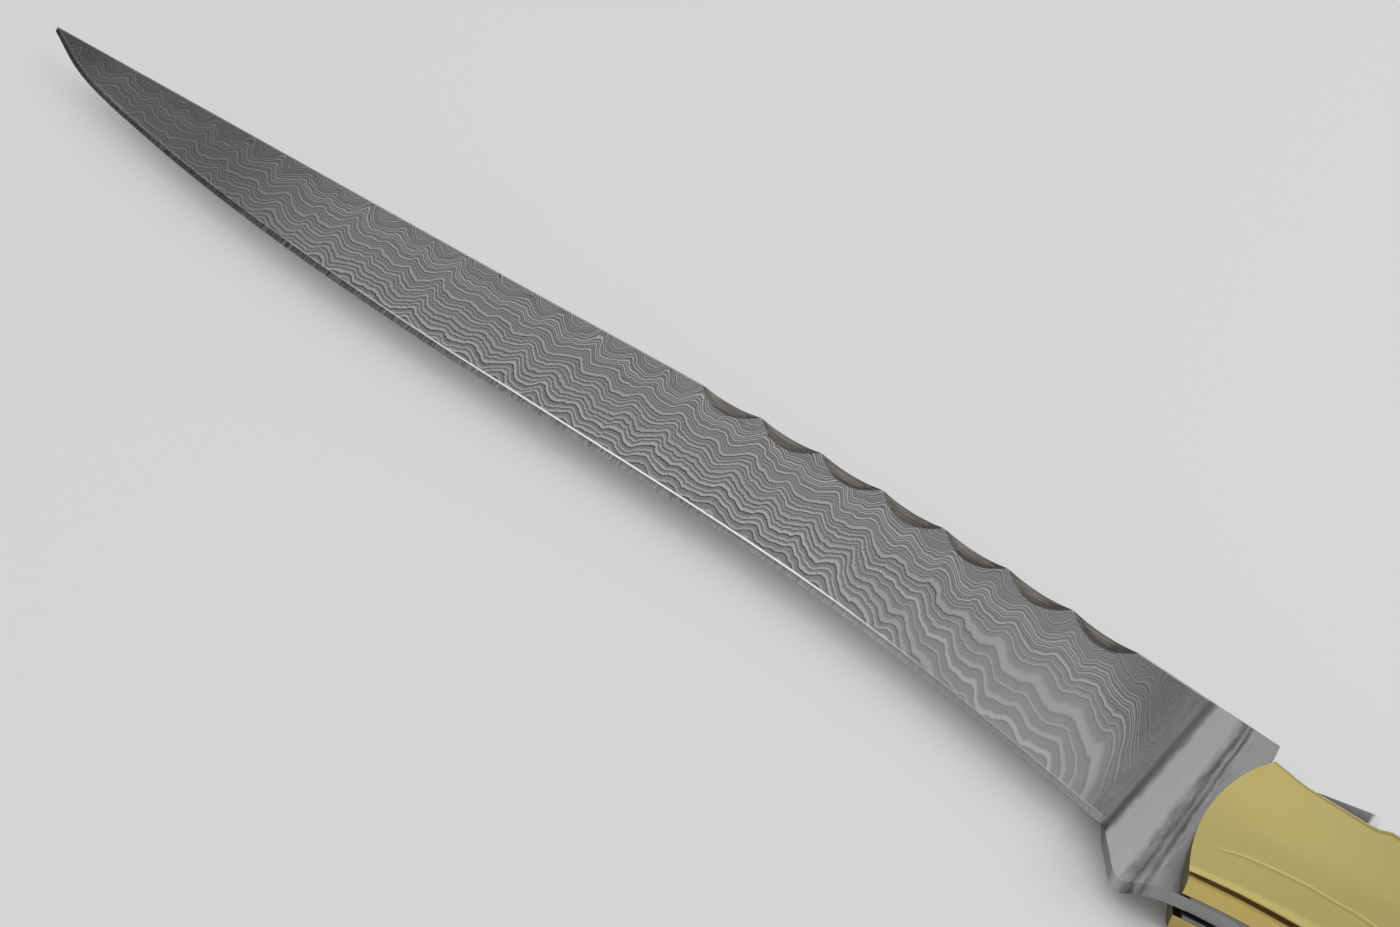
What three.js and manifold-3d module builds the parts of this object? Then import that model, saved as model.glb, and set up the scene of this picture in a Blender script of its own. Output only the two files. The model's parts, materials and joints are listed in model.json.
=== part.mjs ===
// A folding ham knife lying open on its side: a pattern-welded blade with a filed spine turns between two
// handle halves with brass bolsters, and a back spring locks it open until a thumb lever lifts the spring.
// Millimetres, +Z up. X runs from the tip to the butt and Y from the belly to the spine. The pieces are drawn
// with Z = 0 on the blade's mid-plane and X = Y = 0 at the corner where the spine ends at the handle.
import * as THREE from "three";
import { mergeVertices } from "three/addons/utils/BufferGeometryUtils.js";
import Module from "manifold-3d";

const wasm = await Module();
wasm.setup();
const { degToRad, lerp, smoothstep } = THREE.MathUtils;

// Driving dimensions of the blade
const BLADE_REACH = 172; // from the spine's corner to the tip
const BLADE_THICK = 2.6;
const TIP_THICK = 0.8;
const TAPER_POWER = 1.4; // above 1 the blade keeps its thickness longer before it thins
const EDGE_LAND = 0.16; // width of the cutting edge itself
const BEVEL_WIDTH = 0.7; // the sharpening bevel, seen from the side
const BEVEL_THICK = 0.55; // steel behind the bevel
const BEVEL_SHARE = 0.8; // the most that it may be of the spine's thickness, at the tip
const RICASSO_FRONT = -9; // the ricasso's flat ends here, on the kick's slope, and the plunge begins
const HEEL = -10; // the cutting edge's rear end, where the plunge ends
const PLUNGE_LEAN = 0.11; // how far the plunge leans to the handle for each millimetre of height
const LEAN_REACH = 30; // the sections stand upright again this far ahead
const SPINE_LINE = [[-BLADE_REACH, 0.4], [-100, 1.75], [-60, 2.6], [-30, 1.75], [0, 0]];
const EDGE_LINE = [
  [-BLADE_REACH, 0], [-164, -3.5], [-150, -6.4], [-129, -9], [-104, -10.5],
  [-83, -10.95], [-62, -11.35], [-46, -12.1], [-30, -13.85], [HEEL, -17],
];
const PLUNGE_STEPS = 4;
const BLADE_STEPS = 44;
const TIP_FLAT = 0.2;

// Scoops filed into both corners of the spine
const SCOOPS = 7;
const SCOOP_PITCH = 8;
const FIRST_SCOOP = -20;
const SCOOP_REACH = 2.3; // how far each one comes in over the blade's face
const SCOOP_DEPTH = 0.7; // how deep it cuts the spine's corner
const FILE_RADIUS = 11.8;
const FILE_SIDES = 120;

// Tang, pivot and lock
const PIVOT = [9.5, -13.5];
const PIVOT_RADIUS = 1.9;
const TANG_RADIUS = 5.3;
const KICK = [-5.9, -21.7];
const KICK_ROUND = 0.9;
const BELLY_TURN = -2; // the tang's underside turns into its round about here
const NOTCH_FLOOR = -7.9;
const NOTCH_REAR = 4.1;
const HOOK_TOP = -6.6;
const HOOK_REAR = 5.2;
const HOOK_FOOT = 115; // degrees round the pivot where the hook runs into the tang's round
const LEVER_PIN = [7.2, -6.15];
const LEVER_PIN_RADIUS = 0.75;
const LEVER_HUB_RADIUS = 1.3;
const LEVER_THICK = 1.6;
const TOE = { tip: 2.6, root: 5.6, top: -4, foot: -5 };
const THUMB_PLATE = { front: 5.2, rear: 10.8, topFront: -2.05, topRear: -0.85, thick: 0.7, tailRound: 0.65 };
const NECK_HEIGHT = 1.4; // from the toe up to the thumb plate

// Handle
const HANDLE_THICK = 12;
const HANDLE_START = -4; // the handle's form is drawn from here, and its round front is cut from it
const NECK_END = 14; // behind the lever, where the handle begins to swell
const BUTT_START = 184;
const BUTT_END = 206;
const BUTT_THINNING = 0.45;
const HANDLE_TOP = [
  [HANDLE_START, -4.4], [NECK_END, -4.4], [60, -5.2], [110, -6.2], [155, -8.8], [BUTT_END, -15.5],
];
const HANDLE_BOTTOM = [
  [HANDLE_START, -20.6], [0, -19.8], [5, -19.15], [10, -18.85], [NECK_END, -18.8],
  [45, -21.2], [85, -23.9], [130, -24.9], [170, -25.2], [BUTT_END, -24.4],
];
const THUMB_DIP = 0.6; // the bolsters' tops are lower beside the lever
const DIP_FALLS = [0.5, 4.5];
const DIP_RISES = [11.3, 12.4];
const BOLSTER_FRONT_CENTRE = [11.4, -12.8];
const BOLSTER_FRONT_RADIUS = 13.5;
const BOLSTER_REAR = 35;
const REAR_BOLSTER_FRONT = 168;
const ROUND_GROWS = [HANDLE_START, 45]; // slab-sided at the front, the handle is rounder behind the neck
const BELLY_ROUND = { front: [1.3, 1.1], rear: [4, 2.2] }; // how far the corner reaches along Y and Z
const SPINE_ROUND = { front: [0.4, 0.4], rear: [2, 1.5] };
const ROUND_SHARE = 0.45; // the most of the handle's height that one round takes, at the butt
const CORNER_STEPS = 7;
const NECK_STEP = 1.2;
const HANDLE_STEP = 6;
const BUTT_STEPS = 10;
const LINER_THICK = 0.6;
const LINER_SETBACK = 0.8; // the liners stop short of the bolsters' front
const WASHER_THICK = 0.3;
const WASHER_RADIUS = 5.2;

// Back spring
const SPRING_THICK = 3.3;
const SPRING_NOSE_FRONT = 0.25;
const SPRING_NOSE_REAR = 3.9;
const SPRING_NOSE_FOOT = -7.7;
const SPRING_NOSE_ROUND = 0.7;
const SPRING_STEP = 8;
const SPRING_BUTT_STEP = 3;
const WINDOW_GAP = 0.35; // room round the lever in the spring's window
const WINDOW_REAR = 13.6;
const SPRING_LOW = 1.85; // height at the nose's neck
const SPRING_HIGH = 4.2; // height over the rear half
const SPRING_PROUD_FRONT = 1.7;
const SPRING_PROUD_REAR = 0.4;
const KICK_REST = 26; // the closed blade's kick comes to rest under the spring ahead of here
const SPRING_HEEL = 195; // the rear end fills the slot from here to the butt

// Rivets, and the gaps between pieces
const RIVET_RADIUS = 1.25;
const MIDDLE_RIVET_X = 100;
const REAR_RIVET_X = 180;
const SCALE_RIVETS = { front: [47, -13.2], rear: [155, -17] };
const BLIND_DEPTH = 2.6; // pivot and lever pins end inside the bolsters, which cover them
const PLATE_GAP = 0.1;
const HOLE_GAP = 0.1;
const LEVER_GAP = 0.15;
const ROUND_SIDES = 28;
const ARC_SEGMENTS = 20;
const TALL = 80; // longer than any cut needs

const BLADE_HALF = BLADE_THICK / 2;
const SPRING_HALF = SPRING_THICK / 2;
const WASHER_Z = BLADE_HALF + PLATE_GAP;
const LINER_Z = SPRING_HALF + PLATE_GAP;
const COVER_Z = LINER_Z + LINER_THICK + PLATE_GAP;
const FACE_Z = HANDLE_THICK / 2;

const steelPattern = new THREE.MeshStandardMaterial({ color: 0x7f7c7e, roughness: 0.45, metalness: 0.9 });
const steelPlain = new THREE.MeshStandardMaterial({ color: 0xa3a3a4, roughness: 0.3, metalness: 1 });
const brass = new THREE.MeshStandardMaterial({ color: 0xc0ad62, roughness: 0.18, metalness: 1 });
const hardwood = new THREE.MeshStandardMaterial({ color: 0x55301d, roughness: 0.45, metalness: 0 });

// A closed geometry as a solid for cutting and joining.
function solid(geometry) {
  geometry.deleteAttribute("normal");
  geometry.deleteAttribute("uv");
  const merged = mergeVertices(geometry, 1e-4);
  const mesh = new wasm.Mesh({
    numProp: 3,
    vertProperties: merged.attributes.position.array,
    triVerts: new Uint32Array(merged.index.array),
  });
  return new wasm.Manifold(mesh);
}

// A named mesh made from a solid.
function piece(name, made, material) {
  const { vertProperties, triVerts } = made.getMesh();
  const geometry = new THREE.BufferGeometry();
  geometry.setAttribute("position", new THREE.BufferAttribute(vertProperties, 3));
  geometry.setIndex(new THREE.BufferAttribute(triVerts, 1));
  geometry.computeVertexNormals();
  const mesh = new THREE.Mesh(geometry, material);
  mesh.name = name;
  return mesh;
}

function plate(shape, low, high) {
  const form = { depth: high - low, bevelEnabled: false, curveSegments: ARC_SEGMENTS };
  return solid(new THREE.ExtrudeGeometry(shape, form).translate(0, 0, low));
}

function rod([x, y], radius, low, high) {
  const geometry = new THREE.CylinderGeometry(radius, radius, high - low, ROUND_SIDES);
  return solid(geometry.rotateX(Math.PI / 2).translate(x, y, (low + high) / 2));
}

function slab(front, rear, low, high) {
  const geometry = new THREE.BoxGeometry(rear - front, TALL, high - low);
  return solid(geometry.translate((front + rear) / 2, 0, (low + high) / 2));
}

// A body through matching rings of points, each turning about +X and set along +X.
function loft(rings) {
  const count = rings[0].length;
  const last = (rings.length - 1) * count;
  const index = [];
  for (let start = 0; start < last; start += count) {
    for (let k = 0; k < count; k++) {
      const a = start + k;
      const b = start + ((k + 1) % count);
      index.push(a, b, b + count, a, b + count, a + count);
    }
  }
  for (let k = 1; k + 1 < count; k++) {
    index.push(0, k + 1, k, last, last + k, last + k + 1);
  }
  const geometry = new THREE.BufferGeometry().setFromPoints(rings.flat());
  geometry.setIndex(index);
  return solid(geometry);
}

// Y as a smooth function of X through a few points.
function lineThrough(points) {
  const xs = points.map(([x]) => x);
  const ys = points.map(([, y]) => y);
  const curve = new THREE.CubicInterpolant(xs, ys, 1);
  return (x) => curve.evaluate(x)[0];
}

const spineY = lineThrough(SPINE_LINE);
const edgeLine = lineThrough(EDGE_LINE);
const topLine = lineThrough(HANDLE_TOP);
const bottomLine = lineThrough(HANDLE_BOTTOM);

// The edge's line, which turns down the kick's slope behind the heel.
const KICK_TOP = [KICK[0] - KICK_ROUND, KICK[1] + KICK_ROUND];
const KICK_SLOPE = (edgeLine(HEEL) - KICK_TOP[1]) / (KICK_TOP[0] - HEEL);

function edgeY(x) {
  return edgeLine(Math.min(x, HEEL)) - Math.max(0, x - HEEL) * KICK_SLOPE;
}

// The handle's outline at X, which closes in a half ellipse at the butt.
function handleAt(x) {
  const closing = Math.max(0, (x - BUTT_START) / (BUTT_END - BUTT_START));
  const middle = (topLine(x) + bottomLine(x)) / 2;
  const half = ((topLine(x) - bottomLine(x)) / 2) * Math.sqrt(1 - closing ** 2);
  return { top: middle + half, bottom: middle - half, face: FACE_Z * (1 - BUTT_THINNING * closing ** 3) };
}

// The bolsters' tops dip beside the lever, so that the thumb can press it.
function thumbDip(x) {
  return THUMB_DIP * (smoothstep(x, ...DIP_FALLS) - smoothstep(x, ...DIP_RISES));
}

// The spring stands proud of the handle's top, most of all at its nose.
function springTop(x) {
  const falling = smoothstep(x, KICK_REST, 2 * KICK_REST);
  return handleAt(x).top + lerp(SPRING_PROUD_FRONT, SPRING_PROUD_REAR, falling);
}

function springUnderside(x) {
  return springTop(x) - lerp(SPRING_LOW, SPRING_HIGH, smoothstep(x, KICK_REST, MIDDLE_RIVET_X));
}

// Blade: one steel piece of ground blade, ricasso and tang. A section is told by where it meets the edge.
function bladeRing(x) {
  const ahead = Math.max(0, RICASSO_FRONT - x);
  const ground = smoothstep(ahead, 0, RICASSO_FRONT - HEEL);
  const lean = x > RICASSO_FRONT ? 0 : PLUNGE_LEAN * (1 - smoothstep(ahead, 0, LEAN_REACH));
  const taper = (ahead / (BLADE_REACH + RICASSO_FRONT)) ** TAPER_POWER;
  const height = spineY(x) - edgeY(x);
  const spineX = x + lean * height;
  const spine = new THREE.Vector2(spineX, spineY(spineX));
  const edge = new THREE.Vector2(x, edgeY(x));
  const shoulder = edge.clone().lerp(spine, Math.min(BEVEL_WIDTH / height, 1 / 2));
  const spineHalf = lerp(BLADE_THICK, TIP_THICK, taper) / 2;
  const shoulderHalf = lerp(spineHalf, Math.min(BEVEL_THICK / 2, spineHalf * BEVEL_SHARE), ground);
  const edgeHalf = lerp(spineHalf, EDGE_LAND / 2, ground);
  const side = [[spine, spineHalf], [shoulder, shoulderHalf], [edge, edgeHalf]];
  const otherSide = side.map(([at, z]) => [at, -z]).reverse();
  return [...side, ...otherSide].map(([at, z]) => new THREE.Vector3(at.x, at.y, z));
}

// Sections are close together at the plunge and towards the tip, where the outline turns most.
function groundBlade() {
  const stations = [KICK_TOP[0]];
  for (let n = 0; n < PLUNGE_STEPS; n++) {
    stations.push(lerp(RICASSO_FRONT, HEEL, n / PLUNGE_STEPS));
  }
  for (let n = 0; n <= BLADE_STEPS; n++) {
    stations.push(lerp(HEEL, TIP_FLAT - BLADE_REACH, Math.sin((n / BLADE_STEPS) * (Math.PI / 2))));
  }
  return loft(stations.reverse().map(bladeRing));
}

function tangPlate() {
  const [px, py] = PIVOT;
  const [kx, ky] = KICK;
  const foot = degToRad(HOOK_FOOT);
  const shape = new THREE.Shape();
  const [spine, , edge] = bladeRing(KICK_TOP[0]);
  shape.moveTo(spine.x, spine.y);
  shape.lineTo(edge.x, edge.y);
  shape.quadraticCurveTo(kx, ky, kx + KICK_ROUND, ky + KICK_ROUND / 3);
  shape.quadraticCurveTo(BELLY_TURN, py - TANG_RADIUS, px, py - TANG_RADIUS);
  shape.absarc(px, py, TANG_RADIUS, -Math.PI / 2, foot, false);
  shape.lineTo(HOOK_REAR, HOOK_TOP);
  shape.lineTo(NOTCH_REAR, HOOK_TOP);
  shape.lineTo(NOTCH_REAR, NOTCH_FLOOR);
  shape.lineTo(0, NOTCH_FLOOR);
  shape.lineTo(0, 0);
  return plate(shape, -BLADE_HALF, BLADE_HALF);
}

// A round file laid across the spine's corner, tilted so that it bites deeper towards the spine.
function fileCut(x, side) {
  const tilt = Math.atan2(SCOOP_DEPTH, SCOOP_REACH);
  const geometry = new THREE.CylinderGeometry(FILE_RADIUS, FILE_RADIUS, 4 * SCOOP_REACH, FILE_SIDES);
  geometry.translate(0, 0, FILE_RADIUS);
  geometry.rotateX(-tilt);
  geometry.translate(x, spineY(x) - SCOOP_REACH, bladeRing(x)[0].z);
  if (side < 0) {
    geometry.rotateX(Math.PI).scale(1, -1, 1);
    geometry.index.array.reverse();
  }
  return solid(geometry);
}

function makeBlade() {
  let made = groundBlade().add(tangPlate());
  made = made.subtract(rod(PIVOT, PIVOT_RADIUS + HOLE_GAP, -TALL, TALL));
  for (let n = 0; n < SCOOPS; n++) {
    const x = FIRST_SCOOP - n * SCOOP_PITCH;
    made = made.subtract(fileCut(x, 1)).subtract(fileCut(x, -1));
  }
  return piece("blade", made, steelPattern);
}

// Back spring: the nose that locks the tang, a window for the lever, and a heel that closes the butt.
function makeSpring() {
  const shape = new THREE.Shape();
  shape.moveTo(SPRING_NOSE_FRONT, SPRING_NOSE_FOOT);
  shape.lineTo(SPRING_NOSE_FRONT, springTop(0) - SPRING_NOSE_ROUND);
  const roundEnd = SPRING_NOSE_FRONT + SPRING_NOSE_ROUND;
  shape.quadraticCurveTo(SPRING_NOSE_FRONT, springTop(0), roundEnd, springTop(roundEnd));
  for (let x = SPRING_STEP; x < BUTT_END; x += x < BUTT_START ? SPRING_STEP : SPRING_BUTT_STEP) {
    shape.lineTo(x, springTop(x));
  }
  for (let x = BUTT_END - SPRING_NOSE_ROUND; x > SPRING_HEEL; x -= SPRING_BUTT_STEP) {
    shape.lineTo(x, handleAt(x).bottom);
  }
  const lastUnder = SPRING_HEEL - SPRING_STEP;
  shape.lineTo(SPRING_HEEL, handleAt(SPRING_HEEL).bottom);
  shape.lineTo(SPRING_HEEL, springUnderside(lastUnder));
  for (let x = lastUnder; x > SPRING_NOSE_REAR; x -= SPRING_STEP) {
    shape.lineTo(x, springUnderside(x));
  }
  shape.lineTo(SPRING_NOSE_REAR, springUnderside(SPRING_NOSE_REAR));
  shape.lineTo(SPRING_NOSE_REAR, SPRING_NOSE_FOOT);
  const windowHalf = LEVER_THICK / 2 + LEVER_GAP;
  const opening = new THREE.Shape();
  opening.moveTo(TOE.tip - WINDOW_GAP, TOE.foot - 2 * WINDOW_GAP);
  opening.lineTo(WINDOW_REAR, TOE.foot - 2 * WINDOW_GAP);
  opening.lineTo(WINDOW_REAR, 0);
  opening.lineTo(THUMB_PLATE.front - WINDOW_GAP, 0);
  opening.lineTo(THUMB_PLATE.front - WINDOW_GAP, TOE.top + WINDOW_GAP);
  opening.lineTo(TOE.tip - WINDOW_GAP, TOE.top + WINDOW_GAP);
  let made = plate(shape, -SPRING_HALF, SPRING_HALF).subtract(plate(opening, -windowHalf, windowHalf));
  for (const at of [rivetInSpring(MIDDLE_RIVET_X), rivetInSpring(REAR_RIVET_X)]) {
    made = made.subtract(rod(at, RIVET_RADIUS + HOLE_GAP, -TALL, TALL));
  }
  return piece("back_spring", made, steelPlain);
}

function rivetInSpring(x) {
  return [x, (springTop(x) + springUnderside(x)) / 2];
}

// Lock lever: a toe under the spring's nose, a hub on its pin and a tail for the thumb.
function makeLever() {
  const [px, py] = LEVER_PIN;
  const { front, rear, topFront, topRear, thick, tailRound } = THUMB_PLATE;
  const neckTop = TOE.top + NECK_HEIGHT;
  const shape = new THREE.Shape();
  shape.moveTo(TOE.tip, TOE.top);
  shape.lineTo(TOE.root, TOE.top);
  shape.lineTo(TOE.root, neckTop);
  shape.quadraticCurveTo(TOE.root, topFront - thick, front, topFront - thick);
  shape.lineTo(front, topFront);
  shape.lineTo(rear, topRear);
  shape.absarc(rear, topRear - tailRound, tailRound, Math.PI / 2, -Math.PI / 2, true);
  shape.quadraticCurveTo(px + LEVER_HUB_RADIUS, neckTop, px + LEVER_HUB_RADIUS, py);
  shape.absarc(px, py, LEVER_HUB_RADIUS, 0, -Math.PI, true);
  shape.lineTo(TOE.root, TOE.foot);
  shape.lineTo(TOE.tip, TOE.foot);
  const hub = rod(LEVER_PIN, LEVER_HUB_RADIUS, -SPRING_HALF, SPRING_HALF);
  const bore = rod(LEVER_PIN, LEVER_PIN_RADIUS + HOLE_GAP, -TALL, TALL);
  const arms = plate(shape, -LEVER_THICK / 2, LEVER_THICK / 2);
  return piece("lock_lever", arms.add(hub).subtract(bore), steelPlain);
}

// The near half of the whole handle as one rounded form, from which each layer is sliced.
function handleRing(x) {
  const { bottom, face } = handleAt(x);
  const top = handleAt(x).top - thumbDip(x);
  const limit = (top - bottom) * ROUND_SHARE;
  const rounder = smoothstep(x, ...ROUND_GROWS);
  const corners = [
    { edge: top, inward: -1, round: SPINE_ROUND, from: 0 },
    { edge: bottom, inward: 1, round: BELLY_ROUND, from: 1 },
  ];
  const ring = [new THREE.Vector3(x, top, 0)];
  for (const { edge, inward, round, from } of corners) {
    const wide = Math.min(lerp(round.front[0], round.rear[0], rounder), limit);
    const deep = lerp(round.front[1], round.rear[1], rounder);
    for (let n = 0; n <= CORNER_STEPS; n++) {
      const turn = (Math.abs(from - n / CORNER_STEPS) * Math.PI) / 2;
      const y = edge + inward * wide * (1 - Math.cos(turn));
      const z = face - deep * (1 - Math.sin(turn));
      ring.push(new THREE.Vector3(x, y, z));
    }
  }
  ring.push(new THREE.Vector3(x, bottom, 0));
  return ring;
}

function handleHalf() {
  const stations = [];
  for (let x = HANDLE_START; x < NECK_END; x += NECK_STEP) {
    stations.push(x);
  }
  for (let x = NECK_END; x < BUTT_START; x += HANDLE_STEP) {
    stations.push(x);
  }
  for (let n = 0; n <= BUTT_STEPS; n++) {
    stations.push(lerp(BUTT_START, BUTT_END - PLATE_GAP, Math.sin((n / BUTT_STEPS) * (Math.PI / 2))));
  }
  return loft(stations.map(handleRing));
}

// Everything behind the bolsters' round front, set back by a distance.
function behindFront(setback) {
  const [cx, cy] = BOLSTER_FRONT_CENTRE;
  const radius = BOLSTER_FRONT_RADIUS - setback;
  const shape = new THREE.Shape();
  shape.moveTo(TALL + BUTT_END, cy - radius);
  shape.lineTo(TALL + BUTT_END, cy + radius);
  shape.lineTo(cx, cy + radius);
  shape.absarc(cx, cy, radius, Math.PI / 2, (3 * Math.PI) / 2, false);
  return plate(shape, -TALL, TALL);
}

// The layers of one handle half, as name and solid, drawn on the near side.
function halfLayers() {
  const form = handleHalf();
  const through = (at, radius) => rod(at, radius + HOLE_GAP, -TALL, TALL);
  const pivotBlind = rod(PIVOT, PIVOT_RADIUS + HOLE_GAP, -TALL, COVER_Z + BLIND_DEPTH + PLATE_GAP);
  const leverBlind = rod(LEVER_PIN, LEVER_PIN_RADIUS + HOLE_GAP, -TALL, COVER_Z + BLIND_DEPTH + PLATE_GAP);
  const middle = through(rivetInSpring(MIDDLE_RIVET_X), RIVET_RADIUS);
  const rear = through(rivetInSpring(REAR_RIVET_X), RIVET_RADIUS);
  const short = Object.values(SCALE_RIVETS).map((at) => through(at, RIVET_RADIUS));
  const cut = (made, holes) => holes.reduce((left, hole) => left.subtract(hole), made);

  const liner = form.intersect(slab(-TALL, TALL + BUTT_END, LINER_Z, LINER_Z + LINER_THICK));
  const covers = form.intersect(slab(-TALL, TALL + BUTT_END, COVER_Z, TALL));
  const front = covers.intersect(slab(-TALL, BOLSTER_REAR, 0, TALL)).intersect(behindFront(0));
  const scale = covers.intersect(slab(BOLSTER_REAR + PLATE_GAP, REAR_BOLSTER_FRONT - PLATE_GAP, 0, TALL));
  const butt = covers.intersect(slab(REAR_BOLSTER_FRONT, TALL + BUTT_END, 0, TALL));
  const washer = rod(PIVOT, WASHER_RADIUS, WASHER_Z, WASHER_Z + WASHER_THICK - PLATE_GAP / 2);
  const linerHoles = [pivotBlind, leverBlind, middle, rear, ...short];
  const layers = {
    liner: [cut(liner.intersect(behindFront(LINER_SETBACK)), linerHoles), steelPlain],
    front_bolster: [cut(front, [pivotBlind, leverBlind]), brass],
    scale: [cut(scale, [middle, ...short]), hardwood],
    rear_bolster: [cut(butt, [rear]), brass],
    pivot_washer: [washer.subtract(through(PIVOT, PIVOT_RADIUS)), brass],
  };
  for (const [place, at] of Object.entries(SCALE_RIVETS)) {
    layers[`scale_rivet_${place}`] = [rod(at, RIVET_RADIUS, LINER_Z, FACE_Z), brass];
  }
  return layers;
}

function makePins() {
  const blindEnd = COVER_Z + BLIND_DEPTH;
  return [
    piece("pivot_pin", rod(PIVOT, PIVOT_RADIUS, -blindEnd, blindEnd), steelPlain),
    piece("lever_pin", rod(LEVER_PIN, LEVER_PIN_RADIUS, -blindEnd, blindEnd), steelPlain),
    piece("spring_rivet_middle", rod(rivetInSpring(MIDDLE_RIVET_X), RIVET_RADIUS, -FACE_Z, FACE_Z), brass),
    piece("spring_rivet_rear", rod(rivetInSpring(REAR_RIVET_X), RIVET_RADIUS, -FACE_Z, FACE_Z), brass),
  ];
}

// The two handle halves are mirror images across the blade's mid-plane.
function makeHalves() {
  const near = new THREE.Group();
  const far = new THREE.Group();
  far.scale.z = -1;
  for (const [name, [made, material]] of Object.entries(halfLayers())) {
    near.add(piece(`${name}_near`, made, material));
    far.add(piece(`${name}_far`, made, material));
  }
  return [near, far];
}

const knife = new THREE.Group();
knife.add(makeBlade(), makeSpring(), makeLever(), ...makePins(), ...makeHalves());

// The part's origin is under the middle of its box, on the surface that it lies on.
const box = new THREE.Box3().setFromObject(knife);
const middle = box.getCenter(new THREE.Vector3());
knife.position.set(-middle.x, -middle.y, -box.min.z);
const root = new THREE.Group();
root.add(knife);

export default root;
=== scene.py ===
"""Finishes a folding ham knife: patterned steel, brass, hardwood, and a plain pale stage."""

import json
import math

import bpy
from bpy.props import FloatProperty, FloatVectorProperty, PointerProperty
from mathutils import Matrix, Vector
from mathutils.bvhtree import BVHTree


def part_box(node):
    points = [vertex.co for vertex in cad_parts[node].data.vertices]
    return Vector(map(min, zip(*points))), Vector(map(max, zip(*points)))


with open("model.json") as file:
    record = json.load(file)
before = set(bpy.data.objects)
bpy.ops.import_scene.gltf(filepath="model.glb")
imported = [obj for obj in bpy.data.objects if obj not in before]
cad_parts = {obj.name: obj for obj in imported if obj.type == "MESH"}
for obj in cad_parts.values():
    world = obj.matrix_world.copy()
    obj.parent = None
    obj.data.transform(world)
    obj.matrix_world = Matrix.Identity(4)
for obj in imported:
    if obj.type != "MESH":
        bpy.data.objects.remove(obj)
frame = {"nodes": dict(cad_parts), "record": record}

bl_info = {
    "name": "Folding Ham Knife",
    "version": (1, 0, 0),
    "blender": (4, 5, 0),
    "location": "3D View > Sidebar > Knife",
    "description": "Finishes a folding ham knife and sets it on a plain stage",
    "category": "Object",
}

MM = 0.001
WHITE = (1, 1, 1, 1)
BLACK = (0, 0, 0, 1)
BLADE_LOW, BLADE_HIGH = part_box("blade")
BOLSTER_LOW, BOLSTER_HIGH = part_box("front_bolster_near")
LEVER_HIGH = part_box("lock_lever")[1]
MID_PLANE = (BLADE_LOW.z + BLADE_HIGH.z) / 2
OUTLINE_STEPS = 60
SENSOR_WIDTH = 36

# How the solids' facets are smoothed: lengths in metres, angles in radians.
WELD_GAP = 0.002 * MM
FLAT_ANGLE = math.radians(0.15)
CORNER_ANGLE = math.radians(55)
CREASE = math.radians(32)
BLADE_CREASE = math.radians(5)
BLENDED_CREASE = 0.9
PLUNGE_MARGIN = 0.1 * MM
BEHIND_THE_BUTT = 1.0

# Stretches over which the blade's look changes, in mm ahead of the bolsters' front; some of them paint
# shade and highlights onto it.
FRAYED_LAYERS = (15.0, 45.0)
COARSE_STROKES = (20.0, 70.0)
EDGE_BRIGHTENS_FROM = (20.0, 40.0)
EDGE_BRIGHTENS_TO = (75.0, 100.0)
BEVEL_PAINTED_SHADE = (20.0, 60.0)
BEVEL_PAINTED_SHADE_DEEPEST = (80.0, 120.0)
GLINT_FROM = (28.0, 52.0)
GLINT_TO = (84.0, 122.0)
CALM_LAYERS = (100.0, 150.0)
SLIM_BEVEL = (115.0, 160.0)
TIP_PAINTED_SHADE = (115.0, 140.0)
POINT_PAINTED_SHADE = (156.0, 166.0)

# Colour sockets of a Mix node.
MIX_FACTOR = 0
MIX_FIRST = 6
MIX_SECOND = 7
MIX_RESULT = 2


def nodes_with(slot):
    """The frame's objects whose record slot is this one."""
    rows = frame["record"]["subparts"]
    return [frame["nodes"][row["node"]] for row in rows if row["material_slot"] == slot]


class SteelSettings(bpy.types.PropertyGroup):
    """Sizes and colours of the patterned steel."""

    light: FloatVectorProperty(
        name="Light layer", description="Colour of the bright layers", subtype="COLOR",
        default=(0.52, 0.508, 0.526), min=0, max=1,
    )
    middle: FloatVectorProperty(
        name="Middle layer", description="Colour between bright and dark layers", subtype="COLOR",
        default=(0.25, 0.245, 0.252), min=0, max=1,
    )
    dark: FloatVectorProperty(
        name="Dark layer", description="Colour of the deep-etched layers", subtype="COLOR",
        default=(0.05, 0.047, 0.047), min=0, max=1,
    )
    filed: FloatVectorProperty(
        name="Filed steel", description="Colour of the scoops in the spine", subtype="COLOR",
        default=(0.4, 0.38, 0.365), min=0, max=1,
    )
    # Also the colour towards which the scoops' painted shade darkens them.
    file_lines: FloatVectorProperty(
        name="File lines", description="Colour of the dark lines in the scoops", subtype="COLOR",
        default=(0.1, 0.09, 0.08), min=0, max=1,
    )
    # Painted shade: the dark colour painted on the blade's walls that face along it.
    painted_end_wall_shade: FloatVectorProperty(
        name="End walls", description="Colour of the walls that face along the blade", subtype="COLOR",
        default=(0.03, 0.026, 0.024), min=0, max=1,
    )
    wave: FloatProperty(
        name="Wave length", description="From one crest of the pattern to the next", unit="LENGTH",
        default=4.8 * MM,
    )
    bow: FloatProperty(
        name="Bow", description="How deep the pattern's arcs hang from the spine", default=1.35,
    )
    density: FloatProperty(
        name="Layers", description="Number of layers that a millimetre shows at the spine",
        default=6.17,
    )
    bevel: FloatProperty(
        name="Bevel", description="Width of the sharpened bevel", unit="LENGTH", default=0.7 * MM,
    )
    heel: FloatProperty(
        name="Heel", description="From the bolsters' front to the edge's rear end", unit="LENGTH",
        default=7.9 * MM,
    )
    corner: FloatProperty(
        name="Corner", description="Width of the blade's rounded corners", unit="LENGTH",
        default=0.1 * MM,
    )


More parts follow.
